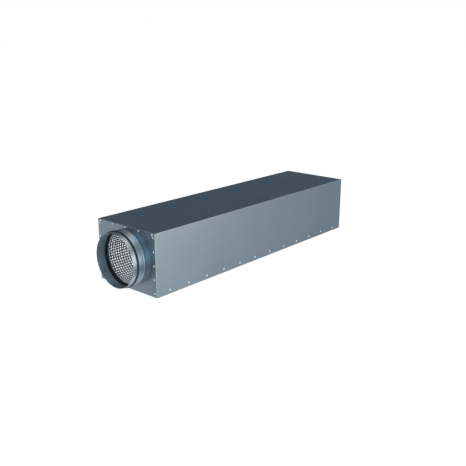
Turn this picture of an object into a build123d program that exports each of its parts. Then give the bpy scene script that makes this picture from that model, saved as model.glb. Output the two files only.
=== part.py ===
"""A duct sound attenuator: a folded sheet-metal box, lined with mineral wool round a perforated tube.

The airway runs along X, from a spigot at the front end (-X) to one at the rear end (+X).
The base of the box lies on Z = 0, and the origin is under the middle of the box.
"""

import os

from build123d import *

os.makedirs("parts", exist_ok=True)

# Spigots: collars of thin sheet that push into a 200 mm duct.
spigot_diameter = 199.0
spigot_length = 54.0
spigot_sheet = 0.7
lead_in_length = 4.0
lead_in_depth = 0.6
seat_from_rim = 14.7
seat_width = 11.2
seat_depth = 0.6
seat_slope = 1.2
bead_width = 6.4
bead_height = 1.7
bead_slope = 2.2
flange_width = 5.0
pressed_radius = 1.2
folded_radius = 0.3

# Rubber ring round the collar, and foam ring that closes the joint inside it.
gasket_base = 1.0
lip_height = 3.0
lip_thickness = 0.8
lip_lean = 1.8
seal_width = 13.2
seal_thickness = 1.8

# Perforated tube and the fleece wrapped round it.
tube_sheet = 0.7
tube_lap = 5.0
fleece_thickness = 0.9

# Casing: how much lining lies round the airway sets the box's section.
casing_length = 1150.0
lining_over = 15.5
lining_beside = 51.5
sheet = 0.8
bend_radius = 0.8
end_flange_width = 20.0
tray_flange_height = 25.0
mitre_slit = 1.0
corner_relief = 3.2

# Blind rivets, and where their rows run.
rivet_shank_diameter = 3.2
rivet_head_diameter = 6.5
rivet_head_height = 1.1
rivet_head_edge = 0.3
rivet_tail_diameter = 4.8
rivet_tail_length = 3.2
mandrel_diameter = 1.9
mandrel_recess = 0.6
side_rivet_count = 12
side_rivet_margin = 62.0
side_rivet_height = 14.7
top_rivet_count = 5
top_rivet_margin = 13.7
top_rivet_inset = 5.8
edge_rivet_count = 5
edge_rivet_margin = 14.7
edge_rivet_inset = 9.4

# Clearances between pieces that are put together.
sheet_fit = 0.1
collar_fit = 0.05
hole_fit = 0.3
rivet_fit = 0.05
flange_fit = 0.5
tube_fit = 0.15
gasket_fit = 0.05
gasket_side_fit = 0.2
soft_fit = 0.3

# Where the driving sizes put things.
spigot_radius = spigot_diameter / 2
spigot_bore_radius = spigot_radius - spigot_sheet
casing_height = spigot_diameter + 2 * lining_over
casing_width = spigot_diameter + 2 * lining_beside
axis_height = casing_height / 2
bend_outside = bend_radius + sheet
tray_width = casing_width - 2 * (sheet + sheet_fit)
end_wall_height = casing_height - sheet - sheet_fit
cover_length = casing_length - 2 * (sheet + sheet_fit)
rivet_grip = 2 * sheet + sheet_fit
tube_radius = spigot_bore_radius - tube_fit
fleece_radius = tube_radius + collar_fit
wool_bore_radius = fleece_radius + fleece_thickness + soft_fit
duct_axis = Axis((0, 0, axis_height), (1, 0, 0))


def end_section(side):
    """A plane through the duct's axis: local x runs out of the end wall, local y is the radius."""
    return Plane(origin=(side * casing_length / 2, 0, axis_height), x_dir=(side, 0, 0), z_dir=(0, -side, 0))


def wall_plane(x, y, z, out):
    """A plane on a wall of the box, with local z along the wall's outward normal and local y up."""
    normal = Vector(*out)
    return Plane(origin=(x, y, z), x_dir=Vector(0, 0, 1).cross(normal), z_dir=normal)


# Each row of rivets: its name, its plane at the row's middle, and its grid.
side_pitch = (casing_length - 2 * side_rivet_margin) / (side_rivet_count - 1)
top_pitch = (casing_width - 2 * top_rivet_margin) / (top_rivet_count - 1)
edge_pitch = (casing_height - 2 * edge_rivet_margin) / (edge_rivet_count - 1)
side_grid = (side_pitch, side_pitch, side_rivet_count, 1)
top_grid = (top_pitch, top_pitch, top_rivet_count, 1)
edge_grid = (edge_pitch, edge_pitch, 1, edge_rivet_count)
edge_y = casing_width / 2 - edge_rivet_inset
top_z = casing_height - top_rivet_inset
rivet_rows = [
    ("rivets_near_side", wall_plane(0, -casing_width / 2, side_rivet_height, (0, -1, 0)), side_grid),
    ("rivets_far_side", wall_plane(0, casing_width / 2, side_rivet_height, (0, 1, 0)), side_grid),
]
for end, side in (("front", -1), ("rear", 1)):
    end_x = side * casing_length / 2
    outward = (side, 0, 0)
    rivet_rows += [
        (f"rivets_{end}_top", wall_plane(end_x, 0, top_z, outward), top_grid),
        (f"rivets_{end}_near_edge", wall_plane(end_x, -edge_y, axis_height, outward), edge_grid),
        (f"rivets_{end}_far_edge", wall_plane(end_x, edge_y, axis_height, outward), edge_grid),
    ]

# Casing cover: the top and both long sides from one sheet, folded down, with a flange
# turned in at each end for the end walls to be riveted to.
with BuildPart() as casing_cover:
    with BuildSketch():
        Rectangle(cover_length, casing_width)
    extrude(amount=casing_height)
    corners = casing_cover.edges().filter_by(Axis.Z) + casing_cover.faces().sort_by(Axis.Z)[-1].edges()
    fillet(corners, radius=bend_outside)
    offset(amount=-sheet, openings=casing_cover.faces().sort_by(Axis.Z)[0])
    # The ends are open inside their flanges, and clear of the spigots' flanges.
    with BuildSketch(Plane.YZ) as end_opening:
        with Locations((0, (casing_height - end_flange_width) / 2)):
            Rectangle(casing_width - 2 * end_flange_width, casing_height - end_flange_width)
        with Locations((0, axis_height)):
            Circle(spigot_radius + flange_width + flange_fit)
    extrude(amount=casing_length, both=True, mode=Mode.SUBTRACT)
    # A slit at 45 degrees parts the top flange from each side flange.
    with BuildSketch(Plane.YZ) as mitres:
        for y in (-1, 1):
            slit_y = y * (casing_width / 2 - end_flange_width / 2)
            with Locations((slit_y, casing_height - end_flange_width / 2)):
                Rectangle(2**0.5 * (end_flange_width - bend_outside), mitre_slit, rotation=45 * y)
    extrude(amount=casing_length, both=True, mode=Mode.SUBTRACT)
    # The side flanges stop above the tray, except for the bend itself.
    with BuildSketch(Plane.YZ) as flange_feet:
        with Locations((0, corner_relief / 2)):
            Rectangle(casing_width - 2 * bend_outside, corner_relief)
    extrude(amount=casing_length, both=True, mode=Mode.SUBTRACT)
    # Holes for the rivets, through the sides and through the end flanges.
    for name, plane, grid in rivet_rows:
        with BuildSketch(plane):
            with GridLocations(*grid):
                Circle(rivet_shank_diameter / 2 + rivet_fit)
        extrude(amount=-2 * bend_outside - sheet, mode=Mode.SUBTRACT)
casing_cover.part.label = "casing_cover"
export_step(casing_cover.part, "parts/casing_cover.step")

# Casing tray: the base and both end walls from one sheet, folded up, with a flange
# along each long side that stands inside the cover.
with BuildPart() as casing_tray:
    with BuildSketch():
        Rectangle(casing_length, tray_width)
    extrude(amount=end_wall_height)
    fillet(casing_tray.faces().sort_by(Axis.Z)[0].edges(), radius=bend_outside)
    offset(amount=-sheet, openings=casing_tray.faces().sort_by(Axis.Z)[-1])
    # The sides are cut down to flanges.
    with BuildSketch(Plane.XZ) as above_flanges:
        with Locations((0, tray_flange_height + casing_height / 2)):
            Rectangle(casing_length - 2 * sheet, casing_height)
    extrude(amount=tray_width, both=True, mode=Mode.SUBTRACT)
    # A relief at each corner parts the flange from the end wall, and takes the cover's bend.
    with BuildSketch():
        with GridLocations(casing_length - 2 * sheet - corner_relief, tray_width, 2, 2):
            Rectangle(corner_relief, 2 * bend_outside)
    extrude(amount=casing_height, mode=Mode.SUBTRACT)
    # The round holes that the spigots go through.
    with BuildSketch(Plane.YZ):
        with Locations((0, axis_height)):
            Circle(spigot_radius + hole_fit)
    extrude(amount=casing_length, both=True, mode=Mode.SUBTRACT)
    for name, plane, grid in rivet_rows:
        with BuildSketch(plane):
            with GridLocations(*grid):
                Circle(rivet_shank_diameter / 2 + rivet_fit)
        extrude(amount=-2 * bend_outside - sheet, mode=Mode.SUBTRACT)
casing_tray.part.label = "casing_tray"
export_step(casing_tray.part, "parts/casing_tray.step")

# Spigot: one spun ring. A bead bears on the end wall from outside, and a flange is
# turned out behind the wall, so the two hold the wall between them. A shallow seat rolled
# into the collar keeps the gasket in its place.
seat_front = spigot_length - seat_from_rim
seat_back = seat_front - seat_width
seat_radius = spigot_radius - seat_depth
bead_radius = spigot_radius + bead_height
behind_wall = -sheet - collar_fit
spigot_skin = [
    (spigot_length, spigot_radius - lead_in_depth),
    (spigot_length - lead_in_length, spigot_radius),
    (seat_front, spigot_radius),
    (seat_front - seat_slope, seat_radius),
    (seat_back + seat_slope, seat_radius),
    (seat_back, spigot_radius),
    (bead_width, spigot_radius),
    (bead_width - bead_slope, bead_radius),
    (collar_fit, bead_radius),
    (collar_fit, spigot_radius),
    (behind_wall, spigot_radius),
    (behind_wall, spigot_radius + flange_width),
]
skin_radii = [pressed_radius] * 8 + [folded_radius] * 2

# Gasket: a rubber band stretched round the seat, with two lips that lean back from the rim.
gasket_front = seat_front - seat_slope - gasket_side_fit
gasket_width = seat_width - 2 * (seat_slope + gasket_side_fit)
gasket_floor = seat_radius + gasket_fit
gasket_face = gasket_floor + gasket_base
lip_tip = gasket_face + lip_height
gasket_outline = [(gasket_front - gasket_width, gasket_floor), (gasket_front, gasket_floor)]
for lip_root in (gasket_front, gasket_front - gasket_width / 2):
    gasket_outline += [
        (lip_root, gasket_face),
        (lip_root - lip_lean, lip_tip),
        (lip_root - lip_lean - lip_thickness, lip_tip),
        (lip_root - 2 * lip_thickness, gasket_face),
    ]
gasket_outline.append((gasket_front - gasket_width, gasket_face))

for end, side in (("front", -1), ("rear", 1)):
    with BuildPart() as spigot:
        with BuildSketch(end_section(side)):
            with BuildLine():
                FilletPolyline(*spigot_skin, radius=skin_radii)
                offset(amount=spigot_sheet, side=Side.LEFT, closed=True)
            make_face()
        revolve(axis=duct_axis)
    spigot.part.label = f"spigot_{end}"
    export_step(spigot.part, f"parts/spigot_{end}.step")

    with BuildPart() as gasket:
        with BuildSketch(end_section(side)):
            with BuildLine():
                Polyline(*gasket_outline, close=True)
            make_face()
        revolve(axis=duct_axis)
    gasket.part.label = f"gasket_{end}"
    export_step(gasket.part, f"parts/gasket_{end}.step")

    # Seal ring: black foam stuck inside the spigot, against the end of the tube.
    with BuildPart() as seal_ring:
        with BuildSketch(end_section(side)):
            with Locations((tube_lap, spigot_bore_radius - collar_fit)):
                Rectangle(seal_width, seal_thickness, align=(Align.MIN, Align.MAX))
        revolve(axis=duct_axis)
        inner_edges = seal_ring.edges().filter_by(GeomType.CIRCLE).sort_by(SortBy.RADIUS)[:2]
        fillet(inner_edges, radius=seal_thickness / 3)
    seal_ring.part.label = f"seal_ring_{end}"
    export_step(seal_ring.part, f"parts/seal_ring_{end}.step")

# Perforated tube: the airway's wall, from one seal ring to the other.
with BuildPart() as perforated_tube:
    with BuildSketch(Plane.YZ):
        with Locations((0, axis_height)):
            Circle(tube_radius)
            Circle(tube_radius - tube_sheet, mode=Mode.SUBTRACT)
    extrude(amount=casing_length / 2 + tube_lap - collar_fit, both=True)
perforated_tube.part.label = "perforated_tube"
export_step(perforated_tube.part, "parts/perforated_tube.step")

# Fleece sleeve: glass fleece wrapped once round the tube, between the spigots' flanges.
fleece_end = casing_length / 2 + behind_wall - spigot_sheet - soft_fit
with BuildPart() as fleece_sleeve:
    with BuildSketch(Plane.YZ):
        with Locations((0, axis_height)):
            Circle(fleece_radius + fleece_thickness)
            Circle(fleece_radius, mode=Mode.SUBTRACT)
    extrude(amount=fleece_end, both=True)
fleece_sleeve.part.label = "fleece_sleeve"
export_step(fleece_sleeve.part, "parts/fleece_sleeve.step")

# Mineral wool: four slabs hollowed to fit round the sleeve. They stand on the tray, clear
# of the end flanges, the rivets' tails and the tray's side flanges.
wool_end = casing_length / 2 - rivet_grip - rivet_tail_length - soft_fit
wool_side = casing_width / 2 - sheet - soft_fit
wool_rebate = casing_width / 2 - rivet_grip - rivet_tail_length - soft_fit
wool_top = casing_height - sheet - soft_fit
wool_split = wool_bore_radius * 0.5**0.5
with BuildPart() as wool_blank:
    with BuildSketch(Plane.YZ):
        with Locations((0, sheet)):
            Rectangle(2 * wool_side, wool_top - sheet, align=(Align.CENTER, Align.MIN))
        with Locations((0, axis_height)):
            Circle(wool_bore_radius, mode=Mode.SUBTRACT)
        for y in (-1, 1):
            with Locations((y * wool_side, 0)):
                Rectangle(
                    2 * (wool_side - wool_rebate),
                    2 * (tray_flange_height + soft_fit),
                    mode=Mode.SUBTRACT,
                )
    extrude(amount=wool_end, both=True)

for name, low_y, high_y, low_z, high_z in (
    ("wool_near_side", -casing_width, -wool_split, 0, casing_height),
    ("wool_far_side", wool_split, casing_width, 0, casing_height),
    ("wool_below", -wool_split, wool_split, 0, axis_height),
    ("wool_above", -wool_split, wool_split, axis_height, casing_height),
):
    with BuildPart() as wool:
        add(wool_blank.part)
        with BuildSketch(Plane.YZ):
            with Locations((low_y, low_z)):
                Rectangle(high_y - low_y, high_z - low_z, align=(Align.MIN, Align.MIN))
        extrude(amount=casing_length, both=True, mode=Mode.INTERSECT)
    wool.part.label = name
    export_step(wool.part, f"parts/{name}.step")

# Blind rivet: a domed head outside, a shank through two sheets and a bulbed tail inside,
# with the broken mandrel a little below the top of the head.
head_radius = rivet_head_diameter / 2
tail_radius = rivet_tail_diameter / 2
shank_radius = rivet_shank_diameter / 2
mandrel_radius = mandrel_diameter / 2
dome_middle = ((head_radius + mandrel_radius) / 2, rivet_head_edge + 0.8 * (rivet_head_height - rivet_head_edge))
tail_end = -rivet_grip - rivet_tail_length
with BuildPart() as rivet:
    with BuildSketch(Plane.XZ):
        with BuildLine():
            dome = ThreePointArc((mandrel_radius, rivet_head_height), dome_middle, (head_radius, rivet_head_edge))
            Polyline(
                dome @ 1,
                (head_radius, 0),
                (shank_radius, 0),
                (shank_radius, -rivet_grip),
                (tail_radius, -rivet_grip),
                (tail_radius, tail_end + mandrel_radius),
                (mandrel_radius, tail_end),
                (0, tail_end),
                (0, rivet_head_height - mandrel_recess),
                (mandrel_radius, rivet_head_height - mandrel_recess),
                dome @ 0,
            )
        make_face()
    revolve(axis=Axis.Z)

for name, plane, grid in rivet_rows:
    with BuildPart() as rivet_row:
        with Locations(plane):
            with GridLocations(*grid):
                add(rivet.part)
    rivet_row.part.label = name
    export_step(rivet_row.part, f"parts/{name}.step")
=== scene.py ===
"""The looks of a duct sound attenuator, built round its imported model."""

import math

import bmesh
import bpy
from mathutils import Matrix, Vector, noise


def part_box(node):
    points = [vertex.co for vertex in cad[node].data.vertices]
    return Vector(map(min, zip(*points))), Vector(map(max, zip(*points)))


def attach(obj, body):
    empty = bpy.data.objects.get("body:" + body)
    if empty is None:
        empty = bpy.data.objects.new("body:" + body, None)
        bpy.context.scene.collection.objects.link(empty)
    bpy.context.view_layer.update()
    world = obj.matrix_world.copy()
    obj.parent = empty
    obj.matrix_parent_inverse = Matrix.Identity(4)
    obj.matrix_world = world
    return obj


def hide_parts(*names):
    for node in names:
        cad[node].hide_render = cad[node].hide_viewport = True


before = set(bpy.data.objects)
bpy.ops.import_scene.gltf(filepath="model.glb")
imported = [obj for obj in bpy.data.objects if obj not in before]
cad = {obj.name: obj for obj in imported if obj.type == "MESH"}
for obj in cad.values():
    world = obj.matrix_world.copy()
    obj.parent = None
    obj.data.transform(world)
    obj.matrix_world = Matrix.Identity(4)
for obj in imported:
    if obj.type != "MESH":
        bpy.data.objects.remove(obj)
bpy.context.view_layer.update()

# Casing: a cover and a tray, each folded from one piece of galvanised sheet. The zinc is smooth and
# blue-grey, with rolling marks along the box, and only a trace of spangle shows in the light.
sheet_colour = (0.300, 0.336, 0.366, 1)
sheet_roughness = 0.30
sheet_spangle = 0.02
sheet_marks = 0.02
along_the_box = (3, 260, 260)
spangle_size = 0.009
cloud_tone = 0.06
cloud_roughness = 0.04
mask_middle = 0.5


def shader_group(name, inputs, outputs):
    """Start a group of shader nodes. A socket has a name and a kind, and one going in a value too."""
    tree = bpy.data.node_groups.new(name, "ShaderNodeTree")
    for socket_name, kind, value in inputs:
        socket = tree.interface.new_socket(socket_name, in_out="INPUT", socket_type=kind)
        socket.default_value = value
    for socket_name, kind in outputs:
        tree.interface.new_socket(socket_name, in_out="OUTPUT", socket_type=kind)
    return tree, tree.nodes.new("NodeGroupInput"), tree.nodes.new("NodeGroupOutput")


def node(tree, kind, settings=None, inputs=None):
    """Add a shader node, with its settings, and the values or links of its inputs."""
    made = tree.nodes.new(kind)
    for key, value in (settings or {}).items():
        setattr(made, key, value)
    for key, value in (inputs or {}).items():
        if isinstance(value, bpy.types.NodeSocket):
            tree.links.new(value, made.inputs[key])
        else:
            made.inputs[key].default_value = value
    return made


def feed(tree, made, links):
    """Lead these links into a node, each under its socket's name."""
    for socket_name, link in links.items():
        tree.links.new(link, made.inputs[socket_name])


def object_place(tree):
    """Where each point lies on the object, in metres."""
    return node(tree, "ShaderNodeTexCoord").outputs["Object"]


def maths(tree, operation, *terms):
    """One step of arithmetic on these values or links."""
    return node(tree, "ShaderNodeMath", {"operation": operation}, dict(enumerate(terms))).outputs[0]


def vector_maths(tree, operation, *terms):
    """One step of arithmetic on these vectors or links, with both its outputs, Vector and Value."""
    return node(tree, "ShaderNodeVectorMath", {"operation": operation}, dict(enumerate(terms))).outputs


def centred(tree, mask, amount):
    """A mask from 0 to 1, moved to lie about 0 and made that large."""
    return maths(tree, "MULTIPLY", maths(tree, "SUBTRACT", mask, mask_middle), amount)


def total(tree, *terms):
    """The sum of these values or links."""
    result = terms[0]
    for term in terms[1:]:
        result = maths(tree, "ADD", result, term)
    return result


def grain(tree, place, scale, detail, roughness=0.5):
    """A mask of random patches, with about this many of them to a metre."""
    return node(
        tree,
        "ShaderNodeTexNoise",
        None,
        {"Vector": place, "Scale": scale, "Detail": detail, "Roughness": roughness},
    ).outputs["Fac"]


def bumped(tree, height, strength, distance):
    """A normal that follows a mask as if it were a height, of this distance in metres."""
    return node(
        tree, "ShaderNodeBump", None, {"Strength": strength, "Distance": distance, "Height": height}
    ).outputs[0]


zinc_coat, zinc_in, zinc_out = shader_group(
    "zinc_coat",
    (
        ("Colour", "NodeSocketColor", sheet_colour),
        ("Roughness", "NodeSocketFloat", sheet_roughness),
        ("Spangle", "NodeSocketFloat", sheet_spangle),
        ("Marks", "NodeSocketFloat", sheet_marks),
        ("Marks Stretch", "NodeSocketVector", along_the_box),
    ),
    (
        ("Colour", "NodeSocketColor"),
        ("Roughness", "NodeSocketFloat"),
        ("Normal", "NodeSocketVector"),
    ),
)
zinc_place = object_place(zinc_coat)
crystals = node(zinc_coat, "ShaderNodeTexVoronoi", None, {"Vector": zinc_place, "Scale": 1 / spangle_size})
crystal_colour = crystals.outputs["Color"]
crystal_tone = node(zinc_coat, "ShaderNodeSeparateColor", None, {"Color": crystal_colour}).outputs["Red"]
stretched = vector_maths(zinc_coat, "MULTIPLY", zinc_place, zinc_in.outputs["Marks Stretch"])["Vector"]
rolled = grain(zinc_coat, stretched, scale=1.0, detail=3.0, roughness=0.6)
clouds = grain(zinc_coat, zinc_place, scale=5.0, detail=2.0)
spangle_and_marks = total(
    zinc_coat,
    centred(zinc_coat, crystal_tone, zinc_in.outputs["Spangle"]),
    centred(zinc_coat, rolled, zinc_in.outputs["Marks"]),
)
brightness = total(zinc_coat, spangle_and_marks, centred(zinc_coat, clouds, cloud_tone), 1.0)
toned = node(
    zinc_coat,
    "ShaderNodeVectorMath",
    {"operation": "SCALE"},
    {"Vector": zinc_in.outputs["Colour"], "Scale": brightness},
).outputs["Vector"]
rough = total(
    zinc_coat,
    zinc_in.outputs["Roughness"],
    spangle_and_marks,
    centred(zinc_coat, clouds, cloud_roughness),
)
marked = bumped(zinc_coat, rolled, strength=0.02, distance=0.0002)
feed(zinc_coat, zinc_out, {"Colour": toned, "Roughness": rough, "Normal": marked})


def material(name, metallic, roughness, specular=0.5):
    """Start a material, and return it with its Principled shader."""
    made = bpy.data.materials.new(name)
    made.use_nodes = True
    shader = made.node_tree.nodes["Principled BSDF"]
    shader.inputs["Metallic"].default_value = metallic
    shader.inputs["Roughness"].default_value = roughness
    shader.inputs["Specular IOR Level"].default_value = specular
    return made, shader


def zinc_material(name, colour, roughness, spangle, marks, stretch):
    """A galvanised finish, from the shared coat and its own values."""
    made, shader = material(name, metallic=1.0, roughness=roughness)
    coat = node(
        made.node_tree,
        "ShaderNodeGroup",
        {"node_tree": zinc_coat},
        {
            "Colour": colour,
            "Roughness": roughness,
            "Spangle": spangle,
            "Marks": marks,
            "Marks Stretch": stretch,
        },
    ).outputs
    looks = {"Base Color": coat["Colour"], "Roughness": coat["Roughness"], "Normal": coat["Normal"]}
    feed(made.node_tree, shader, looks)
    return made


galvanised = zinc_material(
    "galvanised_sheet", sheet_colour, sheet_roughness, sheet_spangle, sheet_marks, along_the_box
)
for name in ("casing_cover", "casing_tray"):
    cad[name].data.materials.clear()
    cad[name].data.materials.append(galvanised)

# Spigots: spun collars of thinner galvanised sheet, ringed by the tool and tapered to the rim. The
# bead bears on the end wall, and the flange behind the wall is turned out over it. The inside is
# painted bluer than the outside, a painted reflection, and darker towards the foam, painted shade.
wall = 0.0007
collar_radius = 0.0995
rim_taper = 0.0006
seat_radius = 0.0992
seat_margin = 0.0002
front_shoulder = 0.0010
rear_shoulder = 0.0014
bead_radius = 0.1012
bead_foot = 0.0064
bead_crest = 0.0042
bead_fit = 0.00005
fine_bend = 0.0002
plain_bend = 0.0003
bead_bend = 0.0004
bead_roll = 0.0012
gasket_set_back = 0.0010
around_the_collar = (900, 8, 8)
collar_colour = (0.308, 0.336, 0.358, 1)
painted_tint_at_rim = (0.92, 1.00, 1.05, 1)
painted_shade_at_foam = (0.73, 0.80, 0.85, 1)
foam_depth = 0.036
ring_steps = 192
same_point = 1e-6
same_place = 1e-5
sharp_corner = math.radians(35)
ends = (("front", -1), ("rear", 1))
tube_low, tube_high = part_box("perforated_tube")
axis_height = (tube_low.z + tube_high.z) / 2
on_the_axis = Vector((0, 0, axis_height))
along_the_axis = Vector((1, 0, 0))
end_wall_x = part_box("casing_tray")[1].x
spigot_low, spigot_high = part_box("spigot_rear")
rim_x = spigot_high.x
flange_x = spigot_low.x + wall
flange_radius = spigot_high.z - axis_height
gasket_low, gasket_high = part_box("gasket_rear")
gasket_front = gasket_high.x - gasket_set_back
bead_face = end_wall_x + bead_fit
collar_corners = [
    (rim_x, collar_radius - rim_taper, 0),
    (gasket_front + front_shoulder, collar_radius, fine_bend),
    (gasket_front + seat_margin, seat_radius, fine_bend),
    (gasket_low.x - seat_margin, seat_radius, plain_bend),
    (gasket_low.x - rear_shoulder, collar_radius, plain_bend),
    (end_wall_x + bead_foot, collar_radius, bead_bend),
    (end_wall_x + bead_crest, bead_radius, bead_bend),
    (bead_face, bead_radius, bead_roll),
    (bead_face, collar_radius, plain_bend),
    (flange_x, collar_radius, plain_bend),
    (flange_x, flange_radius, 0),
]


def mixed(tree, mask, first, second, blend="MIX"):
    """The first colour where the mask is 0, and the second one over it where the mask is 1."""
    colours = {"Factor": mask, 6: first, 7: second}
    return node(tree, "ShaderNodeMix", {"data_type": "RGBA", "blend_type": blend}, colours).outputs[2]


def spin_outline(mesh, corners, middle, axis, steps, closed=False):
    """Turn an outline once round an axis, and make all its faces point the same way."""
    verts = [mesh.verts.new(corner) for corner in corners]
    edges = [mesh.edges.new(pair) for pair in zip(verts, verts[1:])]
    if closed:
        edges.append(mesh.edges.new((verts[-1], verts[0])))
    bmesh.ops.spin(
        mesh, geom=verts + edges, cent=middle, axis=axis, angle=math.tau, steps=steps, use_merge=True
    )
    bmesh.ops.remove_doubles(mesh, verts=mesh.verts, dist=same_point)
    bmesh.ops.recalc_face_normals(mesh, faces=mesh.faces)


def spin_ring(outline, side, steps=ring_steps, closed=False):
    """An outline of (distance from the middle of the box, radius), turned round the airway's axis."""
    mesh = bmesh.new()
    corners = [(side * x, 0, axis_height + radius) for x, radius in outline]
    spin_outline(mesh, corners, on_the_axis, along_the_axis, steps, closed)
    return mesh


def ring_edges(mesh, x, radius):
    """The edges that run round the axis at this distance from the middle of the box and radius."""
    on_ring = set()
    for vert in mesh.verts:
        vert_radius = math.hypot(vert.co.y, vert.co.z - axis_height)
        if abs(abs(vert.co.x) - x) < same_place and abs(vert_radius - radius) < same_place:
            on_ring.add(vert)
    return [edge for edge in mesh.edges if on_ring.issuperset(edge.verts)]


def give_wall(mesh, thickness):
    """Turn an open ring's faces away from the airway's axis, and give it its wall on the inside."""
    bmesh.ops.recalc_face_normals(mesh, faces=mesh.faces)
    facing_away = 0
    for face in mesh.faces:
        from_axis = face.calc_center_median() - on_the_axis
        from_axis.x = 0
        facing_away += face.calc_area() * face.normal.dot(from_axis)
    if facing_away < 0:
        bmesh.ops.reverse_faces(mesh, faces=mesh.faces)
    bmesh.ops.solidify(mesh, geom=mesh.faces[:], thickness=thickness)


def bevel_edges(mesh, edges, width, segments):
    """Round these edges off."""
    bmesh.ops.bevel(
        mesh,
        geom=edges,
        offset=width,
        offset_type="OFFSET",
        segments=segments,
        profile=0.5,
        affect="EDGES",
        material=-1,
        clamp_overlap=True,
    )


def new_object(mesh, name, finish):
    """Put a mesh in the scene under this name, with its material."""
    data = bpy.data.meshes.new(name)
    mesh.to_mesh(data)
    mesh.free()
    data.materials.append(finish)
    made = bpy.data.objects.new(name, data)
    bpy.context.scene.collection.objects.link(made)
    return made


def finish_piece(mesh, name, finish, stands_for):
    """Make a piece of a mesh, smooth but for its sharp corners, and put it in its node's place."""
    for face in mesh.faces:
        face.smooth = True
    for edge in mesh.edges:
        edge.smooth = len(edge.link_faces) != 2 or edge.calc_face_angle() < sharp_corner
    piece = new_object(mesh, name, finish)
    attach(piece, "root")
    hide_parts(stands_for)
    return piece


spun_steel = zinc_material(
    "spun_steel", collar_colour, roughness=0.38, spangle=0.0, marks=0.03, stretch=around_the_collar
)
spun_tree = spun_steel.node_tree
spun_shader = spun_tree.nodes["Principled BSDF"]
spun_shader.inputs["Anisotropic"].default_value = 0.9
spun_shader.inputs["Anisotropic Rotation"].default_value = 0.25
tool_way = node(spun_tree, "ShaderNodeTangent", {"direction_type": "RADIAL", "axis": "X"}).outputs[0]
spun_place = object_place(spun_tree)
spun_normal = node(spun_tree, "ShaderNodeNewGeometry").outputs["Normal"]
from_the_axis = vector_maths(spun_tree, "MULTIPLY_ADD", spun_place, (0, 1, 1), -on_the_axis)["Vector"]
away_from_axis = vector_maths(spun_tree, "DOT_PRODUCT", from_the_axis, spun_normal)["Value"]
inside = maths(spun_tree, "LESS_THAN", away_from_axis, 0.0)
spun_x = node(spun_tree, "ShaderNodeSeparateXYZ", None, {"Vector": spun_place}).outputs["X"]
# Painted light inside the collar: a bluer painted reflection at the rim, turning into darker painted shade
# over this depth towards the foam.
depth = node(
    spun_tree,
    "ShaderNodeMapRange",
    None,
    {"Value": maths(spun_tree, "ABSOLUTE", spun_x), "From Min": rim_x, "From Max": rim_x - foam_depth},
).outputs[0]
painted_inside_shade = mixed(spun_tree, depth, painted_tint_at_rim, painted_shade_at_foam)
plain_tone = spun_shader.inputs["Base Color"].links[0].from_socket
inside_painted_tone = mixed(spun_tree, inside, plain_tone, painted_inside_shade, blend="MULTIPLY")
feed(spun_tree, spun_shader, {"Base Color": inside_painted_tone, "Tangent": tool_way})
for name, side in ends:
    collar = spin_ring([(x, radius) for x, radius, bend in collar_corners], side)
    for x, radius, bend in collar_corners:
        if bend:
            bevel_edges(collar, ring_edges(collar, x, radius), bend, segments=4)
    give_wall(collar, wall)
    finish_piece(collar, f"spigot_{name}_collar", spun_steel, f"spigot_{name}")

# Gaskets: black rubber, moulded with a flat base and two soft lips, and stretched round the seat
# of each spigot. The lips lean away from the rim, so that the duct folds them as it goes on. The
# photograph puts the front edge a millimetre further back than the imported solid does.
rubber_black = (0.011, 0.012, 0.012, 1)
rubber_grey = (0.018, 0.018, 0.019, 1)
gasket_fit = 0.00005
gasket_base = 0.0007
lip_lean = 0.0018
lip_at_tip = 0.0008
lip_at_root = 0.0016
lip_spacing = (gasket_front - gasket_low.x) / 2
lip_radius = gasket_high.z - axis_height
gasket_floor = seat_radius + gasket_fit
gasket_face = gasket_floor + gasket_base
rubber, rubber_shader = material("gasket_rubber", metallic=0.0, roughness=0.6, specular=0.3)
rubber_tree = rubber.node_tree
rubber_place = object_place(rubber_tree)
bloom = grain(rubber_tree, rubber_place, scale=40.0, detail=3.0)
rubber_skin = grain(rubber_tree, rubber_place, scale=1500.0, detail=2.0)
rubber_tone = mixed(rubber_tree, bloom, rubber_black, rubber_grey)
rubber_bump = bumped(rubber_tree, rubber_skin, strength=0.2, distance=0.0001)
feed(rubber_tree, rubber_shader, {"Base Color": rubber_tone, "Normal": rubber_bump})
gasket_outline = [(gasket_low.x, gasket_floor), (gasket_front, gasket_floor)]
for root_x in (gasket_front, gasket_front - lip_spacing):
    gasket_outline += [
        (root_x, gasket_face),
        (root_x - lip_lean, lip_radius),
        (root_x - lip_lean - lip_at_tip, lip_radius),
        (root_x - lip_at_root, gasket_face),
    ]
gasket_outline.append((gasket_low.x, gasket_face))
for name, side in ends:
    gasket = spin_ring(gasket_outline, side, closed=True)
    for x, radius in gasket_outline:
        if radius > gasket_floor:
            bevel_edges(gasket, ring_edges(gasket, x, radius), fine_bend, segments=2)
    finish_piece(gasket, f"gasket_{name}_ring", rubber, f"gasket_{name}")

# Seal rings: black foam stuck round the inside of each spigot. They butt on the ends of the
# perforated tube and close the joint between the two.
foam_black = (0.003, 0.003, 0.003, 1)
foam_grey = (0.007, 0.007, 0.007, 1)
seal_thickness = 0.0018
seal_bend = 0.0006
seal_low, seal_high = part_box("seal_ring_rear")
seal_outside = seal_high.z - axis_height
seal_inside = seal_outside - seal_thickness
foam, foam_shader = material("seal_foam", metallic=0.0, roughness=0.85, specular=0.25)
foam_tree = foam.node_tree
foam_cells = node(
    foam_tree, "ShaderNodeTexVoronoi", None, {"Vector": object_place(foam_tree), "Scale": 1400.0}
).outputs["Distance"]
foam_tone = mixed(foam_tree, foam_cells, foam_black, foam_grey)
foam_bump = bumped(foam_tree, foam_cells, strength=0.5, distance=0.0003)
feed(foam_tree, foam_shader, {"Base Color": foam_tone, "Normal": foam_bump})
seal_outline = [
    (seal_low.x, seal_outside),
    (seal_high.x, seal_outside),
    (seal_high.x, seal_inside),
    (seal_low.x, seal_inside),
]
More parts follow.
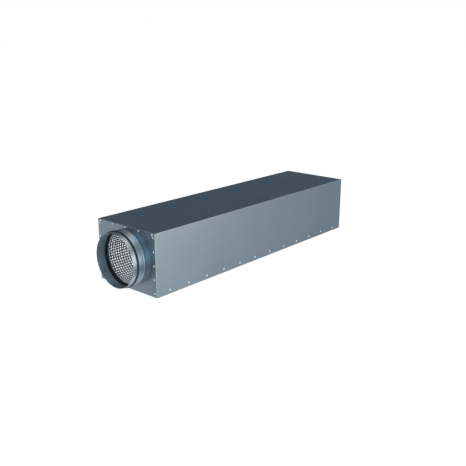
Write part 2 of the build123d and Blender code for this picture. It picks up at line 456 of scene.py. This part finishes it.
for name, side in ends:
    seal = spin_ring(seal_outline, side, closed=True)
    for x in (seal_low.x, seal_high.x):
        bevel_edges(seal, ring_edges(seal, x, seal_inside), seal_bend, segments=3)
    finish_piece(seal, f"seal_ring_{name}_foam", foam, f"seal_ring_{name}")

# Perforated tube: galvanised sheet punched with a square grid of round holes, and rolled into a
# tube. It is made here in three lengths that meet edge to edge, and its first column and first row
# lie where the photograph's dots do.
punched_colour = (0.250, 0.238, 0.270, 1)
tube_wall = 0.0007
hole_radius = 0.0030
hole_corners = 12
holes_round = 64
hole_columns = 111
tube_lengths = ("front", "middle", "rear")
columns_per_length = hole_columns // len(tube_lengths)
first_column_inset = 0.0015
first_column = end_wall_x - first_column_inset
column_pitch = 2 * first_column / (hole_columns - 1)
first_row_turn = math.radians(2.6)
tube_outside = tube_high.z - axis_height
row_pitch = math.tau / holes_round * tube_outside
punched = zinc_material(
    "perforated_steel", punched_colour, roughness=0.38, spangle=0.0, marks=0.03, stretch=along_the_box
)


def hole_cell(mesh, middle_x, low_x, high_x):
    """One hole in its own patch of flat sheet: a round rim, drawn out to the patch's border."""
    middle = Vector((middle_x, 0, 0))
    half_a_step = math.pi / hole_corners
    turned = Matrix.Translation(middle) @ Matrix.Rotation(half_a_step, 4, "Z")
    rim = bmesh.ops.create_circle(mesh, segments=hole_corners, radius=hole_radius, matrix=turned)["verts"]
    rim_edges = list(dict.fromkeys(edge for vert in rim for edge in vert.link_edges))
    drawn_out = bmesh.ops.extrude_edge_only(mesh, edges=rim_edges)["geom"]
    for vert in drawn_out:
        if isinstance(vert, bmesh.types.BMVert):
            way = vert.co - middle
            way /= max(abs(way.x), abs(way.y))
            reach_x = high_x - middle_x if way.x > 0 else middle_x - low_x
            vert.co = middle + Vector((way.x * reach_x, way.y * row_pitch / 2, 0))


for part, name in enumerate(tube_lengths):
    tube = bmesh.new()
    for column in range(part * columns_per_length, (part + 1) * columns_per_length):
        middle_x = column * column_pitch - first_column
        low_x = tube_low.x if column == 0 else middle_x - column_pitch / 2
        high_x = tube_high.x if column == hole_columns - 1 else middle_x + column_pitch / 2
        hole_cell(tube, middle_x, low_x, high_x)
    bmesh.ops.remove_doubles(tube, verts=tube.verts, dist=same_point)
    for vert in tube.verts:
        turn = vert.co.y / tube_outside + first_row_turn
        vert.co.y = math.sin(turn) * tube_outside
        vert.co.z = math.cos(turn) * tube_outside + axis_height
    bmesh.ops.spin(
        tube,
        geom=tube.verts[:] + tube.edges[:] + tube.faces[:],
        cent=on_the_axis,
        axis=along_the_axis,
        angle=math.tau,
        steps=holes_round,
        use_duplicate=True,
    )
    bmesh.ops.remove_doubles(tube, verts=tube.verts, dist=same_place)
    give_wall(tube, tube_wall)
    finish_piece(tube, f"perforated_tube_{name}", punched, "perforated_tube")

# Fleece sleeve: pale glass fleece, wrapped once round the perforated tube to hold the wool back.
# It shows through the holes as a soft, slightly uneven surface.
fleece_shade = (0.85, 0.78, 0.75, 1)
fleece_pale = (0.97, 0.90, 0.87, 1)
fleece_thickness = 0.0009
sleeve_steps = 40
sleeve_steps_round = 96
fleece_low, fleece_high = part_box("fleece_sleeve")
fleece_outside = fleece_high.z - axis_height
sleeve_length = fleece_high.x - fleece_low.x
fleece, fleece_shader = material("glass_fleece", metallic=0.0, roughness=0.9, specular=0.2)
fleece_tree = fleece.node_tree
fleece_place = object_place(fleece_tree)
fibres = grain(fleece_tree, fleece_place, scale=900.0, detail=5.0, roughness=0.7)
patches = grain(fleece_tree, fleece_place, scale=60.0, detail=3.0)
fleece_mask = total(
    fleece_tree, centred(fleece_tree, fibres, 0.8), centred(fleece_tree, patches, 0.5), mask_middle
)
fleece_tone = mixed(fleece_tree, fleece_mask, fleece_shade, fleece_pale)
fleece_bump = bumped(fleece_tree, fibres, strength=0.6, distance=0.0004)
feed(fleece_tree, fleece_shader, {"Base Color": fleece_tone, "Normal": fleece_bump})
sleeve_outline = [
    (fleece_low.x + sleeve_length * step / sleeve_steps, fleece_outside) for step in range(sleeve_steps + 1)
]
sleeve = spin_ring(sleeve_outline, 1, sleeve_steps_round)
give_wall(sleeve, fleece_thickness)
sleeve_piece = finish_piece(sleeve, "fleece_wrap", fleece, "fleece_sleeve")

# Mineral wool: four slabs packed between the sleeve and the casing, yellow-brown and fibrous. They
# are cut by hand and pressed in, so their faces are a little uneven, and they are shut in all round.
wool_brown = (0.42, 0.35, 0.16, 1)
wool_yellow = (0.72, 0.65, 0.40, 1)
wool_facet = 0.02
wool_dents_per_metre = 35
wool_pressed = 0.0012
wool_unevenness = 0.0010
flat_face = math.radians(1)
wool, wool_shader = material("mineral_wool", metallic=0.0, roughness=0.95)
wool_tree = wool.node_tree
wool_fibres = grain(wool_tree, object_place(wool_tree), scale=300.0, detail=6.0, roughness=0.7)
wool_tone = mixed(wool_tree, wool_fibres, wool_brown, wool_yellow)
wool_bump = bumped(wool_tree, wool_fibres, strength=0.9, distance=0.002)
feed(wool_tree, wool_shader, {"Base Color": wool_tone, "Normal": wool_bump})
for slab_name in ("near_side", "far_side", "below", "above"):
    slab = bmesh.new()
    slab.from_mesh(cad[f"wool_{slab_name}"].data)
    bmesh.ops.remove_doubles(slab, verts=slab.verts, dist=same_place)
    bmesh.ops.dissolve_limit(slab, angle_limit=flat_face, verts=slab.verts, edges=slab.edges)
    slab_low, slab_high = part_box(f"wool_{slab_name}")
    for direction in range(3):
        across = Vector([float(direction == number) for number in range(3)])
        cuts = round((slab_high[direction] - slab_low[direction]) / wool_facet)
        for cut in range(1, cuts):
            cut_at = slab_low.lerp(slab_high, cut / cuts)
            whole = slab.verts[:] + slab.edges[:] + slab.faces[:]
            bmesh.ops.bisect_plane(slab, geom=whole, dist=same_point, plane_co=cut_at, plane_no=across)
    bmesh.ops.recalc_face_normals(slab, faces=slab.faces)
    slab.normal_update()
    dents = [noise.noise(vert.co * wool_dents_per_metre) for vert in slab.verts]
    outward_ways = [vert.normal.copy() for vert in slab.verts]
    for vert, dent, way in zip(slab.verts, dents, outward_ways):
        vert.co -= way * (wool_pressed + wool_unevenness * dent)
    slab_piece = finish_piece(slab, f"wool_slab_{slab_name}", wool, f"wool_{slab_name}")

# Blind rivets: bright aluminium, with a low domed head and the broken mandrel down its middle.
# They hold the cover's sides to the tray, and the end walls to the cover's flanges.
rivet_dull = (0.63, 0.58, 0.54, 1)
rivet_bright = (0.76, 0.71, 0.66, 1)
rivet_roughness = 0.45
scuff_roughness = 0.2
rivets_per_side = 12
rivets_per_edge = 5
head_radius = 0.00325
head_height = 0.0011
head_edge = 0.0003
mandrel_radius = 0.0009
mandrel_depth = 0.0005
shank_radius = 0.0016
tail_radius = 0.0024
grip = 0.0017
tail_length = 0.0032
dome_steps = 5
rivet_steps = 20
rivet_metal, rivet_shader = material("rivet_metal", metallic=0.2, roughness=rivet_roughness)
rivet_tree = rivet_metal.node_tree
scuffs = grain(rivet_tree, object_place(rivet_tree), scale=700.0, detail=3.0)
rivet_tone = mixed(rivet_tree, scuffs, rivet_dull, rivet_bright)
rivet_rough = total(rivet_tree, centred(rivet_tree, scuffs, scuff_roughness), rivet_roughness)
feed(rivet_tree, rivet_shader, {"Base Color": rivet_tone, "Roughness": rivet_rough})
recess = head_height - mandrel_depth
dome = [
    (
        mandrel_radius + (head_radius - mandrel_radius) * math.sin(math.pi / 2 * step / dome_steps),
        head_edge + (head_height - head_edge) * math.cos(math.pi / 2 * step / dome_steps),
    )
    for step in range(dome_steps + 1)
]
rivet_outline = [
    (0, recess),
    (mandrel_radius, recess),
    *dome,
    (head_radius, 0),
    (shank_radius, 0),
    (shank_radius, -grip),
    (tail_radius, -grip),
    (tail_radius, mandrel_radius - grip - tail_length),
    (mandrel_radius, -grip - tail_length),
    (0, -grip - tail_length),
]
one_rivet = bmesh.new()
rivet_corners = [(radius, 0, height) for radius, height in rivet_outline]
spin_outline(one_rivet, rivet_corners, (0, 0, 0), (0, 0, 1), rivet_steps)
rivet_data = bpy.data.meshes.new("one_rivet")
one_rivet.to_mesh(rivet_data)
one_rivet.free()
rivet_rows = [
    ("rivets_near_side", Vector((0, -1, 0)), rivets_per_side),
    ("rivets_far_side", Vector((0, 1, 0)), rivets_per_side),
]
for end, side in ends:
    for edge in ("top", "near_edge", "far_edge"):
        rivet_rows.append((f"rivets_{end}_{edge}", Vector((side, 0, 0)), rivets_per_edge))
for name, outwards, count in rivet_rows:
    row_low, row_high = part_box(name)
    half = (row_high - row_low) / 2
    flat_half = half - outwards * half.dot(outwards)
    along = Vector([size if size == max(flat_half) else 0.0 for size in flat_half])
    run = along.normalized() * (along.length - head_radius)
    sheet_face = row_low + half + outwards * (abs(half.dot(outwards)) - head_height)
    turned_out = outwards.to_track_quat("Z", "Y").to_matrix().to_4x4()
    row = bmesh.new()
    for number in range(count):
        stands_at = sheet_face + run * (2 * number / (count - 1) - 1)
        placed = len(row.verts)
        row.from_mesh(rivet_data)
        row.verts.ensure_lookup_table()
        set_in = Matrix.Translation(stands_at) @ turned_out
        bmesh.ops.transform(row, matrix=set_in, verts=row.verts[placed:])
    finish_piece(row, f"{name}_blind", rivet_metal, name)

# Studio floor: a plain white floor that runs to the horizon. Its white is its own glow, over dark
# paint that keeps the object's shadow faint. The object neither mirrors it nor is lit by it.
floor_radius = 60
floor_corners = 64
floor_glow = 0.95
floor_paint = (0.1, 0.1, 0.1, 1)
white = (1, 1, 1, 1)
floor_finish, floor_shader = material("studio_white", metallic=0.0, roughness=0.9, specular=0.0)
floor_shader.inputs["Base Color"].default_value = floor_paint
floor_shader.inputs["Emission Color"].default_value = white
floor_shader.inputs["Emission Strength"].default_value = floor_glow
floor_mesh = bmesh.new()
bmesh.ops.create_circle(floor_mesh, cap_ends=True, segments=floor_corners, radius=floor_radius)
floor = new_object(floor_mesh, "studio_floor", floor_finish)
floor.visible_glossy = False
floor.visible_diffuse = False
floor.visible_shadow = False

# Airway lamp: a glowing bar along the airway's axis, which lights the fleece behind the holes. No
# camera or reflection shows it, and it casts no shadow.
lamp_radius = 0.02
lamp_length = 1.2
lamp_corners = 24
lamp_colour = (0.86, 0.96, 1.0, 1)
lamp_strength = 4.4
lamp_glow, lamp_shader = material("lamp_glow", metallic=0.0, roughness=0.9)
lamp_shader.inputs["Emission Color"].default_value = lamp_colour
lamp_shader.inputs["Emission Strength"].default_value = lamp_strength
lamp_mesh = bmesh.new()
bmesh.ops.create_cone(
    lamp_mesh,
    cap_ends=True,
    segments=lamp_corners,
    radius1=lamp_radius,
    radius2=lamp_radius,
    depth=lamp_length,
    matrix=Matrix.Translation(on_the_axis) @ Matrix.Rotation(math.radians(90), 4, "Y"),
)
lamp = new_object(lamp_mesh, "tube_lamp", lamp_glow)
lamp.visible_camera = False
lamp.visible_glossy = False
lamp.visible_transmission = False
lamp.visible_shadow = False

# Soft lights: an even glow and seventeen soft lights far off, which the camera sees as plain white.
# The glow and thirteen of them began as a program's fit to the photograph, and were rounded. A light
# has its bearing from +Y towards +X, rise and spread in degrees, and its strength and tint.
deep_blue = Vector((0.25, 0.66, 1.0))
sky_blue = Vector((0.55, 0.80, 1.0))
clear_white = Vector((0.93, 0.98, 1.0))
warm_white = Vector((1.0, 0.86, 0.72))
even_glow = Vector((0.09, 0.125, 0.155))
soft_lights = (
    (160, 0, 22, 3.6, clear_white),
    (150, 20, 18, 2.2, warm_white),
    (130, 55, 22, 1.6, warm_white),
    (90, 85, 22, 2.4, clear_white),
    (180, 55, 22, 0.8, clear_white),
    (340, 45, 22, 0.7, clear_white),
    (350, -20, 18, 2.8, clear_white),
    (240, 15, 22, 1.2, sky_blue),
    (230, 0, 16, 4.0, deep_blue),
    (255, -10, 22, 3.6, clear_white),
    (340, -75, 32, 1.5, clear_white),
    (160, -65, 22, 2.7, clear_white),
    (90, -25, 22, 0.6, deep_blue),
    (270, 55, 22, 0.8, deep_blue),
    (262, 52, 14, 2.2, deep_blue),
    (255, -45, 14, 1.9, deep_blue),
    (222, 27, 12, 0.9, deep_blue),
)
surround = bpy.data.worlds.new("studio_surround")
surround.use_nodes = True
bpy.context.scene.world = surround
sky = surround.node_tree
sky.nodes.clear()
looked_at = node(sky, "ShaderNodeTexCoord").outputs["Generated"]
glow = even_glow
for bearing, rise, spread, strength, tint in soft_lights:
    turn = math.radians(bearing)
    tilt = math.radians(rise)
    towards = (math.sin(turn) * math.cos(tilt), math.cos(turn) * math.cos(tilt), math.sin(tilt))
    sharpness = 1 / (1 - math.cos(math.radians(spread)))
    facing = vector_maths(sky, "DOT_PRODUCT", looked_at, towards)["Value"]
    off_centre = maths(sky, "SUBTRACT", facing, 1.0)
    falloff = maths(sky, "EXPONENT", maths(sky, "MULTIPLY", off_centre, sharpness))
    glow = vector_maths(sky, "MULTIPLY_ADD", falloff, tint * strength, glow)["Vector"]
seen = node(sky, "ShaderNodeLightPath").outputs["Is Camera Ray"]
backdrop = mixed(sky, seen, glow, white)
background = node(sky, "ShaderNodeBackground", None, {"Color": backdrop, "Strength": 1.0})
feed(sky, node(sky, "ShaderNodeOutputWorld"), {"Surface": background.outputs[0]})

# Camera: a 50 mm lens on a 36 mm sensor, placed by a fit to the box's edges in the photograph, with
# no roll. The colours are shown as they come, with no film look over them.
camera_place = (-1.94488, -1.69310, 0.85378)
camera_tilt = math.radians(90 - 16.849)
camera_turn = math.radians(-48.837)
camera_data = bpy.data.cameras.new("photo_camera")
camera_data.lens = 50
camera_data.sensor_width = 36
camera = bpy.data.objects.new("photo_camera", camera_data)
bpy.context.scene.collection.objects.link(camera)
camera.location = camera_place
camera.rotation_euler = (camera_tilt, 0, camera_turn)
bpy.context.scene.camera = camera
bpy.context.scene.view_settings.view_transform = "Standard"
bpy.context.scene.view_settings.look = "None"
